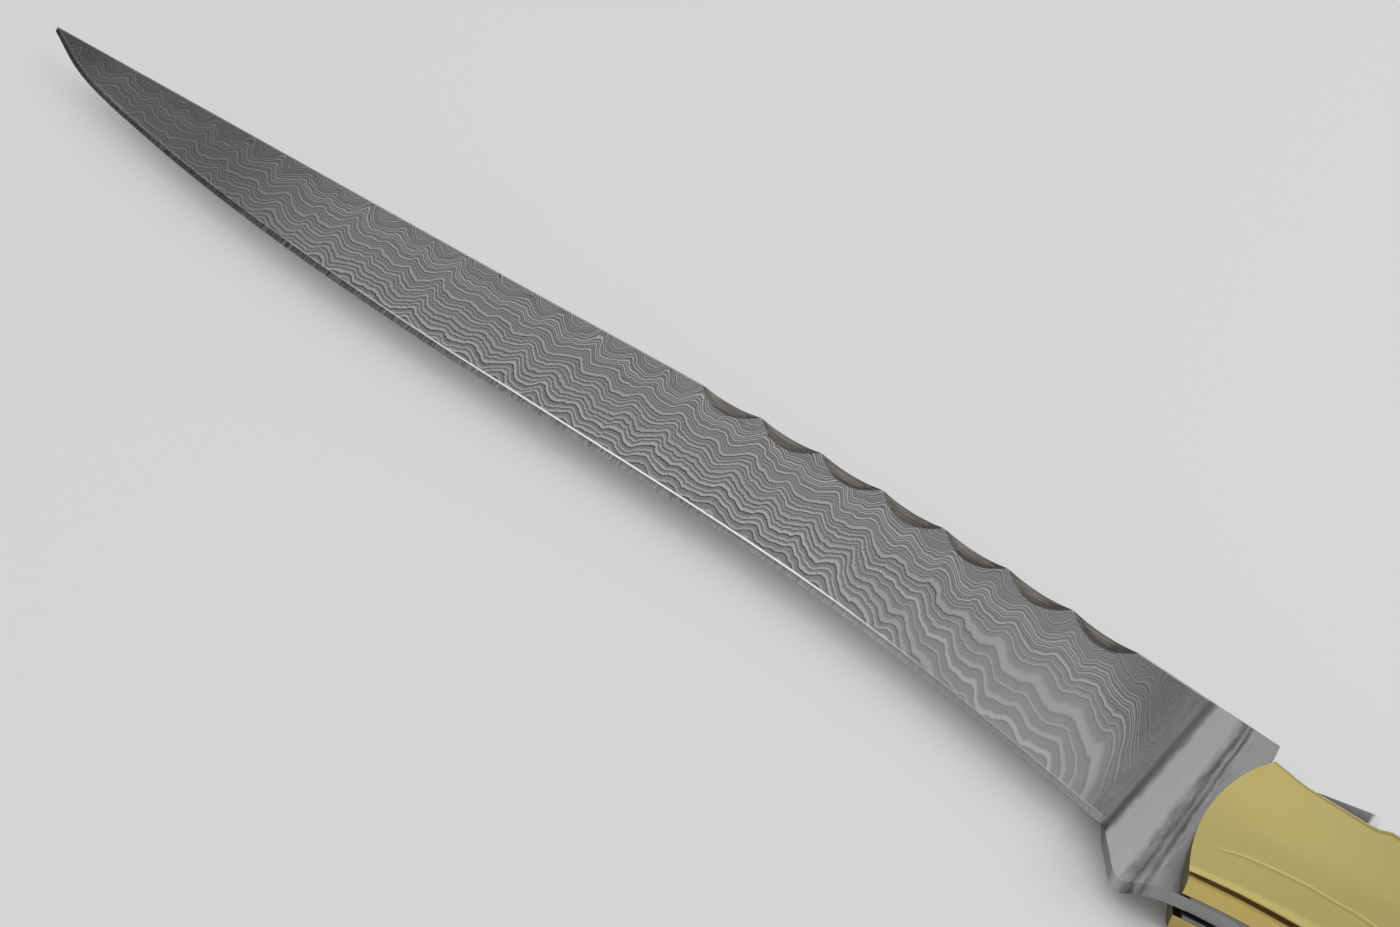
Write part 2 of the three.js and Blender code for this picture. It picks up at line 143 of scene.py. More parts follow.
class LockSettings(bpy.types.PropertyGroup):
    """Sizes and colours of the plain steel of the lock, the liners and the pins."""

    light: FloatVectorProperty(
        name="Light steel", description="Paler colour of the spring, liners and pins", subtype="COLOR",
        default=(0.34, 0.335, 0.335), min=0, max=1,
    )
    dark: FloatVectorProperty(
        name="Dark steel", description="Darker colour of the spring, liners and pins", subtype="COLOR",
        default=(0.16, 0.155, 0.155), min=0, max=1,
    )
    # The lever's colours are darker than the other steel: painted shade together with a darker finish.
    lever_light: FloatVectorProperty(
        name="Light lever", description="Paler colour of the lever", subtype="COLOR",
        default=(0.13, 0.12, 0.12), min=0, max=1,
    )
    lever_dark: FloatVectorProperty(
        name="Dark lever", description="Darker colour of the lever", subtype="COLOR",
        default=(0.06, 0.055, 0.055), min=0, max=1,
    )
    # Painted sheen: the paler colour painted along the top of the steel pieces.
    painted_top_sheen: FloatVectorProperty(
        name="Handled steel", description="Colour that thumbs leave on top", subtype="COLOR",
        default=(0.4, 0.41, 0.43), min=0, max=1,
    )
    # Painted highlight: the pale colour painted on the lever's tail.
    painted_tail_highlight: FloatVectorProperty(
        name="Rubbed steel", description="Colour of the lever's bright tail", subtype="COLOR",
        default=(0.8, 0.8, 0.78), min=0, max=1,
    )
    corner: FloatProperty(
        name="Corner", description="Width of the rounded corners", unit="LENGTH", default=0.12 * MM,
    )


class BrassSettings(bpy.types.PropertyGroup):
    """Sizes and colours of the polished brass."""

    colour: FloatVectorProperty(
        name="Brass", description="Colour of clean brass", subtype="COLOR",
        default=(0.65, 0.538, 0.205), min=0, max=1,
    )
    # Painted shade: the darker brass painted low down and towards the rear of the bolsters.
    painted_shade_brass: FloatVectorProperty(
        name="Dull brass", description="Colour away from the bolsters' front and spine", subtype="COLOR",
        default=(0.5, 0.43, 0.16), min=0, max=1,
    )
    # Painted reflection: the brighter brass painted on the walls that face the edge's side.
    painted_belly_reflection: FloatVectorProperty(
        name="Belly", description="Colour of the walls on the edge's side", subtype="COLOR",
        default=(0.67, 0.5, 0.148), min=0, max=1,
    )
    tarnish: FloatVectorProperty(
        name="Tarnish", description="Colour where the polish has dulled", subtype="COLOR",
        default=(0.5, 0.385, 0.125), min=0, max=1,
    )
    # Painted shade: the dark colour painted on the bolsters' front walls beside the tang.
    painted_joint_shade: FloatVectorProperty(
        name="Joint", description="Colour of the bolsters' front walls beside the tang", subtype="COLOR",
        default=(0.04, 0.028, 0.012), min=0, max=1,
    )
    bolster_corner: FloatProperty(
        name="Bolster corner", description="Width of the front bolsters' rounded corners", unit="LENGTH",
        default=0.3 * MM,
    )
    corner: FloatProperty(
        name="Corner", description="Width of the other pieces' rounded corners", unit="LENGTH",
        default=0.2 * MM,
    )


class WoodSettings(bpy.types.PropertyGroup):
    """Sizes and colours of the hardwood scales."""

    early: FloatVectorProperty(
        name="Early wood", description="Colour of the paler grain", subtype="COLOR",
        default=(0.17, 0.065, 0.026), min=0, max=1,
    )
    late: FloatVectorProperty(
        name="Late wood", description="Colour of the dark grain", subtype="COLOR",
        default=(0.045, 0.014, 0.007), min=0, max=1,
    )
    corner: FloatProperty(
        name="Corner", description="Width of the scales' rounded corners", unit="LENGTH",
        default=0.15 * MM,
    )


class StageSettings(bpy.types.PropertyGroup):
    """Floor, light and camera."""

    floor: FloatVectorProperty(
        name="Floor", description="Colour of the floor", subtype="COLOR",
        default=(0.76, 0.77, 0.77), min=0, max=1,
    )
    floor_glow: FloatVectorProperty(
        name="Floor glow", description="Colour of the floor's own light", subtype="COLOR",
        default=(0.67, 0.68, 0.675), min=0, max=1,
    )
    glow_share: FloatProperty(
        name="Glow share", description="How much of the floor's brightness is its own", subtype="FACTOR",
        default=0.64, min=0, max=1,
    )
    shade_reach: FloatProperty(
        name="Shade reach", description="The floor's own light fades where a piece is this close above",
        unit="LENGTH", default=7 * MM,
    )
    floor_size: FloatProperty(
        name="Floor size", description="Side of the square floor", unit="LENGTH", default=24,
    )
    panel: FloatVectorProperty(
        name="Dark panel", description="Colour of the panel on the camera's side", subtype="COLOR",
        default=(0.09, 0.05, 0.035), min=0, max=1,
    )
    key_power: FloatProperty(
        name="Key light", description="Power of the soft key light", unit="POWER", default=2.2,
    )
    key_size: FloatProperty(
        name="Key size", description="Side of the square key light", unit="LENGTH", default=0.42,
    )
    key_place: FloatVectorProperty(
        name="Key place", description="Place of the key light", subtype="TRANSLATION", unit="LENGTH",
        default=(0.4, 0.12, 0.6),
    )
    lens: FloatProperty(
        name="Lens", description="Focal length of the camera, in mm on a 36 mm sensor", unit="CAMERA",
        default=53.38,
    )
    camera: FloatVectorProperty(
        name="Camera", description="Place of the camera", subtype="TRANSLATION", unit="LENGTH",
        default=(-0.0055, -0.09915, 0.1875),
    )
    look_down: FloatProperty(
        name="Look down", description="How far the camera looks below the horizon", subtype="ANGLE",
        default=math.radians(54.29),
    )
    heading: FloatProperty(
        name="Heading", description="Turn of the camera's view from +Y towards -X", subtype="ANGLE",
        default=math.radians(36.55),
    )


class KnifeSettings(bpy.types.PropertyGroup):
    """Everything about the knife that a user would change."""

    steel: PointerProperty(name="Blade", description="The patterned steel", type=SteelSettings)
    lock: PointerProperty(name="Lock", description="The plain steel", type=LockSettings)
    brass: PointerProperty(name="Brass", description="The polished brass", type=BrassSettings)
    wood: PointerProperty(name="Scales", description="The hardwood", type=WoodSettings)
    stage: PointerProperty(name="Stage", description="Floor, light and camera", type=StageSettings)


class Wire:
    """An output socket of a node tree, with arithmetic on its values."""

    def __init__(self, tree, socket=None):
        self.tree = tree
        self.socket = socket

    def node(self, kind, settings=None, sockets=None, out=0):
        """Adds a node: its settings first, then the values or links of its sockets."""
        made = self.tree.nodes.new(kind)
        for name, value in (settings or {}).items():
            if name == "stops":
                fill_ramp(made.color_ramp, value)
            elif name == "points":
                fill_curve(made.mapping, value)
            else:
                setattr(made, name, value)
        for name, value in (sockets or {}).items():
            if isinstance(value, Wire):
                self.tree.links.new(value.socket, made.inputs[name])
            else:
                made.inputs[name].default_value = value
        return Wire(self.tree, made.outputs[out] if made.outputs else None)

    def other(self, out):
        """Another output of the same node."""
        return Wire(self.tree, self.socket.node.outputs[out])

    def math(self, operation, first, second=0.0):
        """Adds a node of arithmetic on values."""
        return self.node("ShaderNodeMath", {"operation": operation}, {0: first, 1: second})

    def __add__(self, value):
        return self.math("ADD", self, value)

    def __radd__(self, value):
        return self.math("ADD", value, self)

    def __sub__(self, value):
        return self.math("SUBTRACT", self, value)

    def __rsub__(self, value):
        return self.math("SUBTRACT", value, self)

    def __mul__(self, value):
        return self.math("MULTIPLY", self, value)

    def __rmul__(self, value):
        return self.math("MULTIPLY", value, self)

    def __truediv__(self, value):
        return self.math("DIVIDE", self, value)

    def __pow__(self, value):
        return self.math("POWER", self, value)

    def __abs__(self):
        return self.math("ABSOLUTE", self)


def fill_ramp(ramp, stops):
    """Sets a colour ramp's stops from (place, value or colour) pairs."""
    while len(ramp.elements) > 1:
        ramp.elements.remove(ramp.elements[-1])
    for n, (place, value) in enumerate(stops):
        element = ramp.elements[0] if n == 0 else ramp.elements.new(place)
        element.position = place
        element.color = (value, value, value, 1) if isinstance(value, float) else (*value, 1)


def fill_curve(mapping, points):
    """Sets a curve's points, which run from 0 to 1 both ways."""
    curve = mapping.curves[0]
    for n, (place, value) in enumerate(points):
        if 0 < n < len(points) - 1:
            curve.points.new(place, value)
    curve.points[0].location = points[0]
    curve.points[-1].location = points[-1]
    mapping.update()


def smooth(value, low, high):
    """0 below low and 1 above high, with a soft step between."""
    return value.node(
        "ShaderNodeMapRange", {"interpolation_type": "SMOOTHSTEP"},
        {"Value": value, "From Min": low, "From Max": high},
    )


def soft_min(value, limit, softness):
    """The lesser of two values, with a rounded change from one to the other."""
    return value.node("ShaderNodeMath", {"operation": "SMOOTH_MIN"}, {0: value, 1: limit, 2: softness})


def soft_max(value, limit, softness):
    """The greater of two values, with a rounded change from one to the other."""
    return value.node("ShaderNodeMath", {"operation": "SMOOTH_MAX"}, {0: value, 1: limit, 2: softness})


def ramp(value, stops):
    """A grey or a colour read from stops along a value from 0 to 1."""
    return value.node("ShaderNodeValToRGB", {"stops": stops}, {0: value})


def blend(factor, first, second):
    """Between two values, by a factor from 0 to 1."""
    return first * (1 - factor) + second * factor


def mix_colour(factor, first, second):
    """Between two colours, by a factor from 0 to 1."""
    sockets = {MIX_FACTOR: factor, MIX_FIRST: first, MIX_SECOND: second}
    return factor.node("ShaderNodeMix", {"data_type": "RGBA"}, sockets, out=MIX_RESULT)


def rgba(colour):
    """A colour that covers fully."""
    return (*colour, 1)


def stretched(place, scale):
    """A vector with each of its parts scaled."""
    return place.node("ShaderNodeVectorMath", {"operation": "MULTIPLY"}, {0: place, 1: scale})


def along_way(way, direction):
    """How far a vector points in a direction."""
    return way.node("ShaderNodeVectorMath", {"operation": "DOT_PRODUCT"}, {0: way, 1: direction}, out=1)


def noise(place, scale, detail=2.0, roughness=0.5):
    """Soft noise about 0 over a place, with this many grains in a millimetre along each axis."""
    sockets = {"Vector": stretched(place, scale), "Scale": 1.0, "Detail": detail, "Roughness": roughness}
    return place.node("ShaderNodeTexNoise", {}, sockets) - 0.5


def new_material(name):
    """A material with its place on the piece in millimetres, as a vector."""
    material = bpy.data.materials.new(name)
    material.use_nodes = True
    pen = Wire(material.node_tree)
    metres = pen.node("ShaderNodeTexCoord", out="Object")
    place = pen.node("ShaderNodeVectorMath", {"operation": "SCALE"}, {0: metres, "Scale": 1 / MM})
    return material, place


def set_surface(material, sockets):
    """Sets or links the sockets of the material's own surface shader."""
    shader = material.node_tree.nodes["Principled BSDF"]
    for name, value in sockets.items():
        if isinstance(value, Wire):
            material.node_tree.links.new(value.socket, shader.inputs[name])
        else:
            shader.inputs[name].default_value = value


def bump(height, strength, depth):
    """A surface that a height roughens, by a depth in millimetres."""
    sockets = {"Strength": strength, "Distance": depth * MM, "Height": height}
    return height.node("ShaderNodeBump", {}, sockets)


def axes(place):
    """The three parts of a vector."""
    first = place.node("ShaderNodeSeparateXYZ", {}, {0: place})
    return first, first.other(1), first.other(2)


def blade_outline():
    """The spine's and the edge's height along the blade, each from 0 to 1 of the blade's box."""
    blade = frame["nodes"]["blade"]
    tree = BVHTree.FromObject(blade, bpy.context.evaluated_depsgraph_get())
    span = BLADE_HIGH - BLADE_LOW
    outline = {"spine": [], "edge": []}
    for n in range(OUTLINE_STEPS + 1):
        share = n / OUTLINE_STEPS
        x = BLADE_LOW.x + span.x * min(max(share, 0.001), 0.999)
        for name, start, way in (("spine", BLADE_HIGH.y + 1, -1), ("edge", BLADE_LOW.y - 1, 1)):
            hit = tree.ray_cast(Vector((x, start, MID_PLANE)), Vector((0, way, 0)))[0]
            if hit is None:
                raise RuntimeError("the blade has no section where its outline is read")
            outline[name].append((share, (hit.y - BLADE_LOW.y) / span.y))
    return outline


def outline_curve(along, points):
    """The outline's height in mm, as a curve over the place along the blade."""
    share = along.node("ShaderNodeFloatCurve", {"points": points}, {"Value": along})
    return share * ((BLADE_HIGH.y - BLADE_LOW.y) / MM) + BLADE_LOW.y / MM


def nearest_centre(x, length, wander):
    """Distance to the nearest of a row of centres along X, in mm."""
    settings = {"voronoi_dimensions": "1D", "feature": "SMOOTH_F1"}
    sockets = {"W": x / length, "Scale": 1.0, "Randomness": wander, "Smoothness": 0.5}
    return x.node("ShaderNodeTexVoronoi", settings, sockets) * length


def layer_field(steel, place, ahead, below_spine, above_edge):
    """How deep in the stack of layers a place lies: arcs hang from the spine, loops close on the heel."""
    loop_start = steel.heel / MM + 8
    turn = soft_max(loop_start - ahead, 0.0, 3.0) * 1.5
    deep = below_spine + above_edge - (above_edge * above_edge + turn * turn) ** 0.5 + 1
    curl = soft_min(deep, 3.8, 2.0)
    drift = noise(place, (0.09, 0.09, 0.09), 1.0) * 2.5
    centre = nearest_centre(axes(place)[0] + drift, steel.wave / MM, 0.25) * steel.bow
    arcs = (centre * centre + curl * curl) ** 0.5 - curl
    ripple = noise(place, (0.42, 0.1, 0.3), 1.5) * 2.2
    jag = noise(place, (2.4, 0.6, 0.6), 2.0) * 0.3
    frayed = smooth(deep, 3.0, 8.0) * smooth(ahead, *FRAYED_LAYERS)
    fray = noise(place, (7.0, 1.0, 1.0), 1.0) * frayed * 0.3
    return arcs + deep + ripple + jag + fray


def layer_count(steel, field, near_heel):
    """Layers down to a depth in the stack: crowded at the spine, broad low down, and uneven."""
    twice_as_thick = 3.2
    thin = (field - 0.5) / twice_as_thick + 1
    even = thin.math("LOGARITHM", thin, math.e) * (steel.density * twice_as_thick)
    crowded = soft_min(field * 2.6, field * 0.55 + 15.5, 6.0)
    count = blend(near_heel, even, crowded)
    sockets = {"W": count, "Scale": 0.37, "Detail": 1.0}
    uneven = count.node("ShaderNodeTexNoise", {"noise_dimensions": "1D"}, sockets)
    return count + uneven * 1.4


def layer_tone(steel, ahead, field):
    """Grey of the layers: each is light, then has a frayed dark edge that fades to the middle grey."""
    heel = steel.heel / MM
    near_heel = 1 - smooth(ahead, heel + 12, heel + 46)
    shallow = 1 - smooth(field, 1.5, 6.0)
    low_heel = near_heel * smooth(field, 9 - near_heel * 3.5, 14 - near_heel * 3)
    # Painted shade: the layers are darker near the plunge, less so low on the heel.
    plunge_painted_shade = (1 - smooth(ahead, heel + 1, heel + 11)) * (1 - low_heel * 0.7)

    count = layer_count(steel, field, near_heel)
    part = count.math("FRACT", count)
    number = count.math("FLOOR", count)
    strength = count.node("ShaderNodeTexWhiteNoise", {"noise_dimensions": "1D"}, {"W": number})
    thickness = axes(strength.other(1))[1]
    width = thickness * 0.25 + smooth(field, 4.0, 9.0) * 0.1 + 0.22
    light = smooth(part, 0.0, low_heel * 0.15 + 0.1) * (1 - smooth(part, width - 0.06, width + 0.06))
    dark = smooth(part, width - 0.04, width + 0.06) * (1 - smooth(part, width + 0.1, width + 0.22))
    lightness = (strength * 0.3 + 0.18) * (1 - near_heel * (1 - low_heel) * 0.4)
    darkness = (0.46 - strength * 0.15 + shallow * 0.06) * (1 - low_heel * 0.8)
    calm = smooth(ahead, *CALM_LAYERS) * 0.45 + low_heel * 0.3
    calm = calm + near_heel * (shallow * 0.95 + 0.15) - shallow * 0.3
    base = low_heel * 0.06 - shallow * 0.05 - plunge_painted_shade * 0.14 + 0.43
    return (light * lightness - dark * darkness) * (1 - calm) + base


def ricasso_tone(place, ahead, below_spine):
    """Grey of the bands that cross the ricasso, and how far the bands reign at a place."""
    y, z = axes(place)[1:]
    wobble = noise(place, (0.6, 0.4, 0.3), 4.0, 0.65) * 0.6
    across = ahead / (below_spine * 0.0225 + 1) + wobble
    strip = place.node("ShaderNodeCombineXYZ", {}, {0: across, 1: y * 0.3, 2: z * 0.3})
    streaks = noise(strip, (2.6, 1.0, 1.0), 4.0, 0.7)
    share = across / 8
    tone = ramp(share, [
        (0.0, 0.56), (0.09, 0.56), (0.12, 0.26), (0.16, 0.46), (0.2, 0.2), (0.25, 0.46),
        (0.29, 0.6), (0.315, 0.72), (0.58, 0.7), (0.62, 0.36), (0.8, 0.3), (1.0, 0.36),
    ])
    streaked = ramp(share, [
        (0.0, 0.2), (0.1, 0.9), (0.27, 0.9), (0.32, 0.15), (0.58, 0.15), (0.64, 0.25), (1.0, 0.4),
    ])
    return tone + streaks * streaked, 1 - smooth(across, 6.0, 8.8)


def bevel_tone(place, ahead, above_edge, bevel):
    """Grey of the ground bevel: strokes that coarsen towards the point, painted shade that darkens it
    towards the point, and a grey that rises towards the edge.
    """
    strokes = noise(place, (6.5, 0.3, 0.3), 3.0, 0.8) * (smooth(ahead, *COARSE_STROKES) * 1.3 + 0.4)
    # Painted shade: the bevel grows darker towards the point.
    ground = 0.36 - smooth(ahead, *BEVEL_PAINTED_SHADE) * 0.12 - smooth(ahead, *BEVEL_PAINTED_SHADE_DEEPEST) * 0.14
    brightens_to_edge = smooth(ahead, *EDGE_BRIGHTENS_FROM) * (1 - smooth(ahead, *EDGE_BRIGHTENS_TO))
    towards_edge = (1 - above_edge / bevel) * (brightens_to_edge * 0.2 + 0.1)
    return strokes + ground + towards_edge


def shoulder_painted_highlight(ahead, above_edge, bevel):
    """Painted highlight: how far the bevel's shoulder shows as a fine bright streak, most of all along
    the middle of the blade.
    """
    shoulder = smooth(above_edge, bevel - 0.12, bevel - 0.05)
    shoulder = shoulder * (1 - smooth(above_edge, bevel + 0.07, bevel + 0.16))
    glint = smooth(ahead, *GLINT_FROM) * (1 - smooth(ahead, *GLINT_TO))
    return shoulder * (glint * 0.88 + 0.12)


def pattern_steel(steel):
    """Etched layered steel, a ground bevel along the edge, filed scoops in the spine, painted highlights
    and painted shade.
    """
    material, place = new_material("pattern_steel")
    x, y, z = axes(place)
    outline = blade_outline()
    along = (x - BLADE_LOW.x / MM) / ((BLADE_HIGH.x - BLADE_LOW.x) / MM)
    below_spine = outline_curve(along, outline["spine"]) - y
    above_edge = y - outline_curve(along, outline["edge"])
    ahead = BOLSTER_LOW.x / MM - x

    field = layer_field(steel, place, ahead, below_spine, above_edge)
    bands, band_share = ricasso_tone(place, ahead, below_spine)
    grain = noise(place, (1.2, 4.0, 1.0), 4.0, 0.6) * 0.1
    grey = blend(band_share, layer_tone(steel, ahead, field), bands) + grain

    bevel = steel.bevel / MM
    heel = steel.heel / MM
    sharpened = smooth(ahead, heel, heel + 0.5)
    slimmer = smooth(ahead, *SLIM_BEVEL) * 0.25
    on_bevel = (1 - smooth(above_edge + slimmer, bevel - 0.06, bevel)) * sharpened
    grey = blend(on_bevel, grey, bevel_tone(place, ahead, above_edge, bevel))
    tint = ramp(grey, [(0.0, steel.dark), (0.4, steel.middle), (0.85, steel.light), (1.0, steel.light)])

    lengthwise, facing_up, outward = axes(place.node("ShaderNodeTexCoord", out="Normal"))
    filed = smooth(facing_up, 0.1, 0.18)
    file_lines = noise(place, (0.12, 4.5, 4.5), 3.0, 0.7)
    # Painted shade in the scoops: darker towards the blade's near face, lighter or darker by which way
    # along the blade they face, over the real file marks.
    scoop_painted_shadow = smooth(z, MID_PLANE / MM + 0.5, MID_PLANE / MM + 1.2)
    filed_grey_and_shade = file_lines * 2.4 + 0.6 + lengthwise * 0.8 - scoop_painted_shadow * 0.5
    filed_tint = mix_colour(filed_grey_and_shade, rgba(steel.file_lines), rgba(steel.filed))
    # Painted shade and reflection: walls that face along the blade are darkened towards the end walls'
    # colour.
    painted_wall_shade = 1 - smooth(abs(outward) + abs(facing_up) - abs(lengthwise), -0.2, 0.5)

    # Painted highlights: a fine bright streak on the bevel's shoulder and a fainter one along the spine,
    # mixed towards white.
    spine_painted_highlight = (1 - smooth(below_spine, 0.08, 0.2)) * smooth(ahead, 3.0, 6.0)
    painted_highlight = shoulder_painted_highlight(ahead, above_edge, bevel) * sharpened + spine_painted_highlight * 0.3
    # Painted shade: the blade is darkened towards its point, but not under the painted highlights.
    tip_painted_shade = smooth(ahead, *TIP_PAINTED_SHADE) * 0.36 + smooth(ahead, *POINT_PAINTED_SHADE) * 0.2
    colour = mix_colour(filed, mix_colour(painted_highlight, tint, WHITE), filed_tint)
    colour = mix_colour(tip_painted_shade * (1 - painted_highlight), colour, BLACK)
    set_surface(material, {
        "Metallic": 1.0,
        "Base Color": mix_colour(painted_wall_shade * 0.7, colour, rgba(steel.painted_end_wall_shade)),
        "Roughness": 0.46 - grey * 0.16 + filed * 0.06 - painted_highlight * 0.28,
        "Normal": bump(blend(filed, grey, file_lines), 0.12, 0.01),
    })
    return material


def plain_steel(name, lock, dark, light):
    """Satin steel with lengthwise lines, a painted sheen on top and a painted highlight where the lever's
    tail is.
    """
    material, place = new_material(name)
    x, y = axes(place)[:2]
    lines = noise(place, (0.15, 6.0, 6.0), 3.0)
    cloud = noise(place, (0.4, 0.4, 0.4), 3.0)
    tint = ramp(cloud * 0.6 + lines * 0.4 + 0.5, [(0.3, dark), (0.7, light)])
    tail = LEVER_HIGH.x / MM
    top = LEVER_HIGH.y / MM
    # Painted sheen: the top two millimetres of the steel are paler.
    painted_top_sheen = smooth(y, top - 2.0, top) * 0.5
    # Painted highlight: the steel is paler and smoother at the lever's tail.
    painted_tail_highlight = smooth(x, tail - 1.1, tail - 0.6) * (1 - smooth(x, tail + 0.3, tail + 0.6))
    tint = mix_colour(painted_top_sheen, tint, rgba(lock.painted_top_sheen))
    set_surface(material, {
        "Metallic": 1.0,
        "Base Color": mix_colour(painted_tail_highlight, tint, rgba(lock.painted_tail_highlight)),
        "Roughness": 0.28 + lines * 0.2 - painted_tail_highlight * 0.12,
        "Normal": bump(lines, 0.15, 0.01),
    })
    return material


def buffing_marks(place, front, middle):
    """Height of the wavy ridge that buffing left on the bolster, with its trough and streaks below."""
    x, y, z = axes(place)
    from_crest = x - (front + 14)
    waver = noise(place, (0.16, 0.02, 0.1), 1.0) * 0.9
    over_ridge = y - (middle - 1.5) + from_crest * from_crest * 0.013 + waver
    ridge = smooth(over_ridge, -0.16, 0.04) * (1 - smooth(over_ridge, 0.0, 3.0))
    trough = smooth(over_ridge, -0.5, -0.16) * (1 - smooth(over_ridge, -0.16, 0.04))
    under_ridge = smooth(over_ridge, -3.5, -0.2) * (1 - smooth(over_ridge, -0.4, 0.1))
    strip = place.node("ShaderNodeCombineXYZ", {}, {0: x * 0.1, 1: over_ridge * 2.2, 2: z * 0.2})
    streaks = noise(strip, (1.0, 1.0, 1.0), 2.0) * under_ridge
    return ridge - trough * 0.6 + streaks * 0.6


def polished_brass(brass):
    """Buffed brass with faint hairlines, a little tarnish, a ridge that the buffing left, and painted
    shade and reflections.
    """
    material, place = new_material("brass")
    x, y = axes(place)[:2]
    front = BOLSTER_LOW.x / MM
    rear = BOLSTER_HIGH.x / MM
    middle = (BOLSTER_LOW.y + BOLSTER_HIGH.y) / 2 / MM
    hairlines = noise(place, (0.12, 5.0, 5.0), 3.0)
    dulled = smooth(noise(place, (0.05, 0.12, 0.12), 2.0), -0.1, 0.25)
    on_bolster = 1 - smooth(x, rear - 18, rear - 8)
    marked = on_bolster * smooth(x, front + 1.5, front + 5)
    height = buffing_marks(place, front, middle) * marked + hairlines * 0.06

    facing, facing_up = axes(place.node("ShaderNodeTexCoord", out="Normal"))[:2]
    # Painted shade and reflection: the bolsters' front walls are darkened, less metallic and rougher.
    painted_joint_shade = (1 - smooth(facing, -0.85, -0.6)) * on_bolster
    # Painted shade: the brass is darker low down and away from the bolsters' front.
    lower_painted_shade = 1 - smooth(y, middle - 5, middle + 4)
    away = smooth(x, front + 3, front + 24)
    tint = mix_colour(away * 0.85 + lower_painted_shade * 0.8, rgba(brass.colour), rgba(brass.painted_shade_brass))
    tint = mix_colour(dulled * 0.2, tint, rgba(brass.tarnish))
    # Painted reflection: walls that face the edge's side take a warmer, more saturated brass.
    tint = mix_colour(smooth(facing_up, -0.6, -0.9), tint, rgba(brass.painted_belly_reflection))
    set_surface(material, {
        "Metallic": 1 - painted_joint_shade * 0.8,
        "Base Color": mix_colour(painted_joint_shade * 0.8, tint, rgba(brass.painted_joint_shade)),
        "Roughness": 0.12 + dulled * 0.04 + hairlines * 0.05 + painted_joint_shade * 0.5,
        "Normal": bump(height, 1.0, 0.03),
    })
    return material


def hardwood(wood):
    """Dark oiled hardwood with long grain and open pores."""
    material, place = new_material("hardwood")
    y, z = axes(place)[1:]
    bend = noise(place, (0.02, 0.12, 0.12), 2.0) * 9
    rings = noise(place, (0.008, 0.5, 0.5), 4.0, 0.6) + 0.5
    phase = y * 0.9 + z * 0.6 + bend
    bands = phase.math("SINE", phase) * 0.18 + rings
    pores = smooth(noise(place, (0.22, 3.4, 3.4), 1.0), 0.1, 0.22)
    tone = ramp(bands, [(0.3, wood.late), (0.55, wood.early), (0.8, wood.early)])
    set_surface(material, {
        "Base Color": mix_colour(pores * 0.75, tone, rgba(wood.late)),
        "Roughness": 0.36 + pores * 0.3 + rings * 0.1,
        "Normal": bump(rings * 0.3 - pores, 0.35, 0.06),
        "Coat Weight": 0.15,
        "Coat Roughness": 0.25,
    })
    return material


def welded_group():
    """Geometry nodes that weld a solid's mesh, drop its first normals and mark its creases."""
    group = bpy.data.node_groups.new("welded", "GeometryNodeTree")
    group.interface.new_socket("Geometry", in_out="INPUT", socket_type="NodeSocketGeometry")
    group.interface.new_socket("Crease", in_out="INPUT", socket_type="NodeSocketFloat")
    group.interface.new_socket("Blend from", in_out="INPUT", socket_type="NodeSocketFloat")
    group.interface.new_socket("Geometry", in_out="OUTPUT", socket_type="NodeSocketGeometry")
    mesh = Wire(group).node("NodeGroupInput")
    crease = mesh.other(1)
    blend_from = mesh.other(2)
    for name in ("custom_normal", "sharp_edge", "sharp_face"):
        mesh = mesh.node("GeometryNodeRemoveAttribute", {}, {"Geometry": mesh, "Name": name})
    mesh = mesh.node("GeometryNodeMergeByDistance", {}, {"Geometry": mesh, "Distance": WELD_GAP})
    mesh = mesh.node("GeometryNodeSetShadeSmooth", {}, {"Geometry": mesh})
    angle = mesh.node("GeometryNodeInputMeshEdgeAngle")
    x = axes(mesh.node("GeometryNodeInputPosition"))[0]
    least = crease + x.math("GREATER_THAN", x, blend_from) * BLENDED_CREASE
    creased = angle.math("GREATER_THAN", angle, least)
    sockets = {"Geometry": mesh, "Selection": creased, "Shade Smooth": False}
    mesh = mesh.node("GeometryNodeSetShadeSmooth", {"domain": "EDGE"}, sockets)
    mesh.node("NodeGroupOutput", {}, {0: mesh})
    return group


def soften(piece, group, corner, crease, blend_from):
    """Welds a solid's mesh, rounds its sharp corners by a hair and shades its facets smooth."""
    welded = piece.modifiers.new("welded", "NODES")
    welded.node_group = group
    welded[group.interface.items_tree["Crease"].identifier] = crease
    welded[group.interface.items_tree["Blend from"].identifier] = blend_from
    flats = piece.modifiers.new("flats", "DECIMATE")
    flats.decimate_type = "DISSOLVE"
    flats.angle_limit = FLAT_ANGLE
    corners = piece.modifiers.new("corners", "BEVEL")
    corners.width = corner
    corners.segments = 3
    corners.limit_method = "ANGLE"
    corners.angle_limit = CORNER_ANGLE
    corners.miter_outer = "MITER_ARC"
    shading = piece.modifiers.new("shading", "WEIGHTED_NORMAL")
    shading.keep_sharp = True


def dress(pieces, material, corner, crease=CREASE, blend_from=BEHIND_THE_BUTT):
    """Gives solids their finish; their creases are blended over at X beyond blend_from."""
    group = bpy.data.node_groups.get("welded") or welded_group()
    if not pieces:
        raise RuntimeError(f"no piece takes {material.name}")
    for piece in pieces:
        piece.data.materials.clear()
        piece.data.materials.append(material)
        soften(piece, group, corner, crease, blend_from)


class KNIFE_OT_blade(bpy.types.Operator):
    """Gives the blade its layered steel"""

    bl_idname = "knife.blade"
    bl_label = "Blade"

    def execute(self, context):
        steel = context.scene.knife.steel
        plunge = BOLSTER_LOW.x - steel.heel - PLUNGE_MARGIN
        dress(nodes_with("pattern_steel"), pattern_steel(steel), steel.corner, BLADE_CREASE, plunge)
        return {"FINISHED"}


